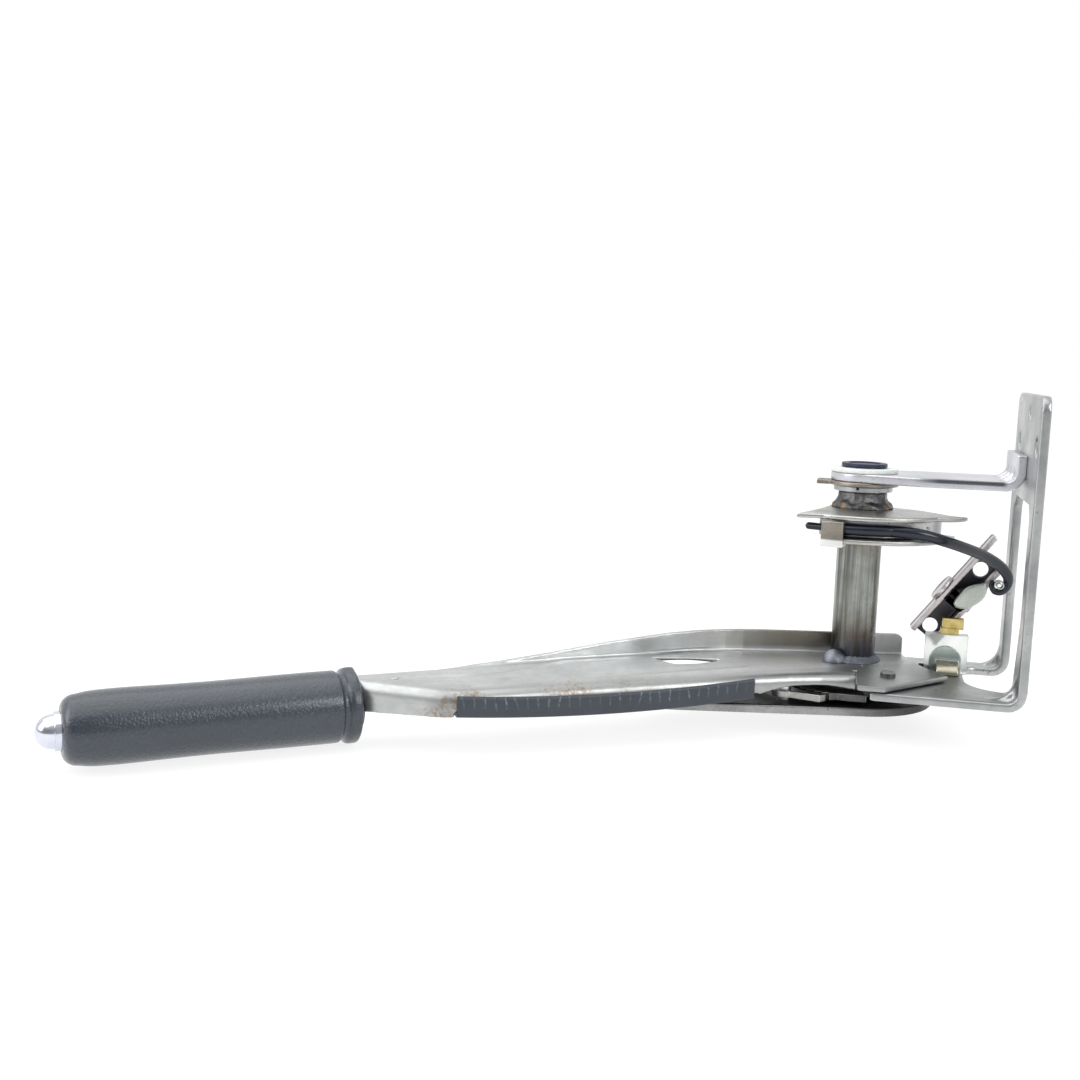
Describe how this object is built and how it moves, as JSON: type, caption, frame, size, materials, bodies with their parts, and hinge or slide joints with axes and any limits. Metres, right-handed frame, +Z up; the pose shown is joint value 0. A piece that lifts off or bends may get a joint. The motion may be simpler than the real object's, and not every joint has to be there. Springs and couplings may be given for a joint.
{
  "type": "parking brake lever",
  "caption": "Hand parking brake lever: rubber grip with push button on a pressed lever that turns in a folded mounting bracket, with ratchet, cable sector, equaliser and switch.",
  "frame": {"origin": "on the outer face of the mounting flange, midway between its two side holes", "axes": "+X out through the mounting flange, +Y away from the side shown in the picture, +Z up along the pivot shaft"},
  "size_m": [0.3759, 0.2341, 0.1545],
  "materials": {
    "zinc_plated_steel": "satin, zinc plated",
    "bare_pressed_steel": "pressed, lightly stained",
    "drawn_steel_tube": "drawn, heat tinted",
    "weld_metal": "scaled",
    "hardened_steel": "oiled dark",
    "clip_steel": "stained",
    "pale_zinc_steel": "satin",
    "moulded_rubber": "leather grained",
    "moulded_pvc": "grained",
    "chrome_button": "polished",
    "white_nylon": "moulded",
    "blue_plastic": "moulded",
    "black_nylon": "moulded",
    "brass_terminal": "stamped",
    "cable_coating": "extruded"
  },
  "bodies": {
    "bracket": {"bracket_plate": "zinc_plated_steel", "top_arm": "zinc_plated_steel", "upper_bush": "white_nylon", "bush_collar": "bare_pressed_steel", "bush_keeper": "hardened_steel", "lower_bush": "white_nylon", "ratchet_sector": "hardened_steel", "switch_body": "white_nylon", "switch_clip": "zinc_plated_steel", "switch_terminal": "brass_terminal", "cable_run": "cable_coating"},
    "lever": {"lever_upper_plate": "bare_pressed_steel", "lever_lower_plate": "bare_pressed_steel", "lever_column": "bare_pressed_steel", "pivot_tube": "drawn_steel_tube", "tube_plug": "blue_plastic", "foot_weld": "weld_metal", "sector_weld": "weld_metal", "web_screw": "bare_pressed_steel", "edge_trim": "moulded_pvc", "grip": "moulded_rubber", "grip_tang": "drawn_steel_tube", "pawl_pin_post": "bare_pressed_steel", "sector_upper_plate": "bare_pressed_steel", "sector_lower_plate": "bare_pressed_steel", "sector_hub": "zinc_plated_steel", "cable_clip": "clip_steel", "cable_tail": "cable_coating", "cable_wrap": "cable_coating"},
    "button": {"push_button": "chrome_button", "push_rod": "drawn_steel_tube"},
    "pawl": {"pawl": "hardened_steel"},
    "plunger": {"switch_plunger": "black_nylon"},
    "clevis": {"equaliser_clevis": "pale_zinc_steel", "equaliser_pin": "pale_zinc_steel"},
    "bar": {"equaliser_bar": "pale_zinc_steel"}
  },
  "joints": [
    {"name": "lever_pull", "type": "hinge", "parent": "bracket", "child": "lever", "pos_m": [-0.072, 0.015, -0.1045], "axis": [0, 0, -1], "range_deg": [0, 36]},
    {"name": "button_press", "type": "slide", "parent": "lever", "child": "button", "axis": [0.7793, 0.6266, 0], "range_m": [0, 0.004], "stiffness_N_per_m": 1000, "springref_m": -0.004},
    {"name": "pawl_lift", "type": "hinge", "parent": "lever", "child": "pawl", "pos_m": [-0.1011, -0.0173, -0.1154], "axis": [0, 0, -1], "range_deg": [0, 10]},
    {"name": "switch_press", "type": "slide", "parent": "bracket", "child": "plunger", "axis": [1, 0, 0], "range_m": [0, 0.0015], "stiffness_N_per_m": 400, "springref_m": -0.002},
    {"name": "equaliser_pull", "type": "slide", "parent": "bracket", "child": "clevis", "axis": [-1, 0, 0], "range_m": [0, 0.0041]},
    {"name": "equaliser_tilt", "type": "hinge", "parent": "clevis", "child": "bar", "pos_m": [-0.0265, 0.026, -0.0747], "axis": [-0.8039, 0, 0.5948], "range_deg": [-5, 5]}
  ],
  "couplings": [
    {"joint": "pawl_lift", "follows": "button_press", "rad_per_m": 43.6},
    {"joint": "equaliser_pull", "follows": "lever_pull", "m_per_rad": 0.0064}
  ]
}
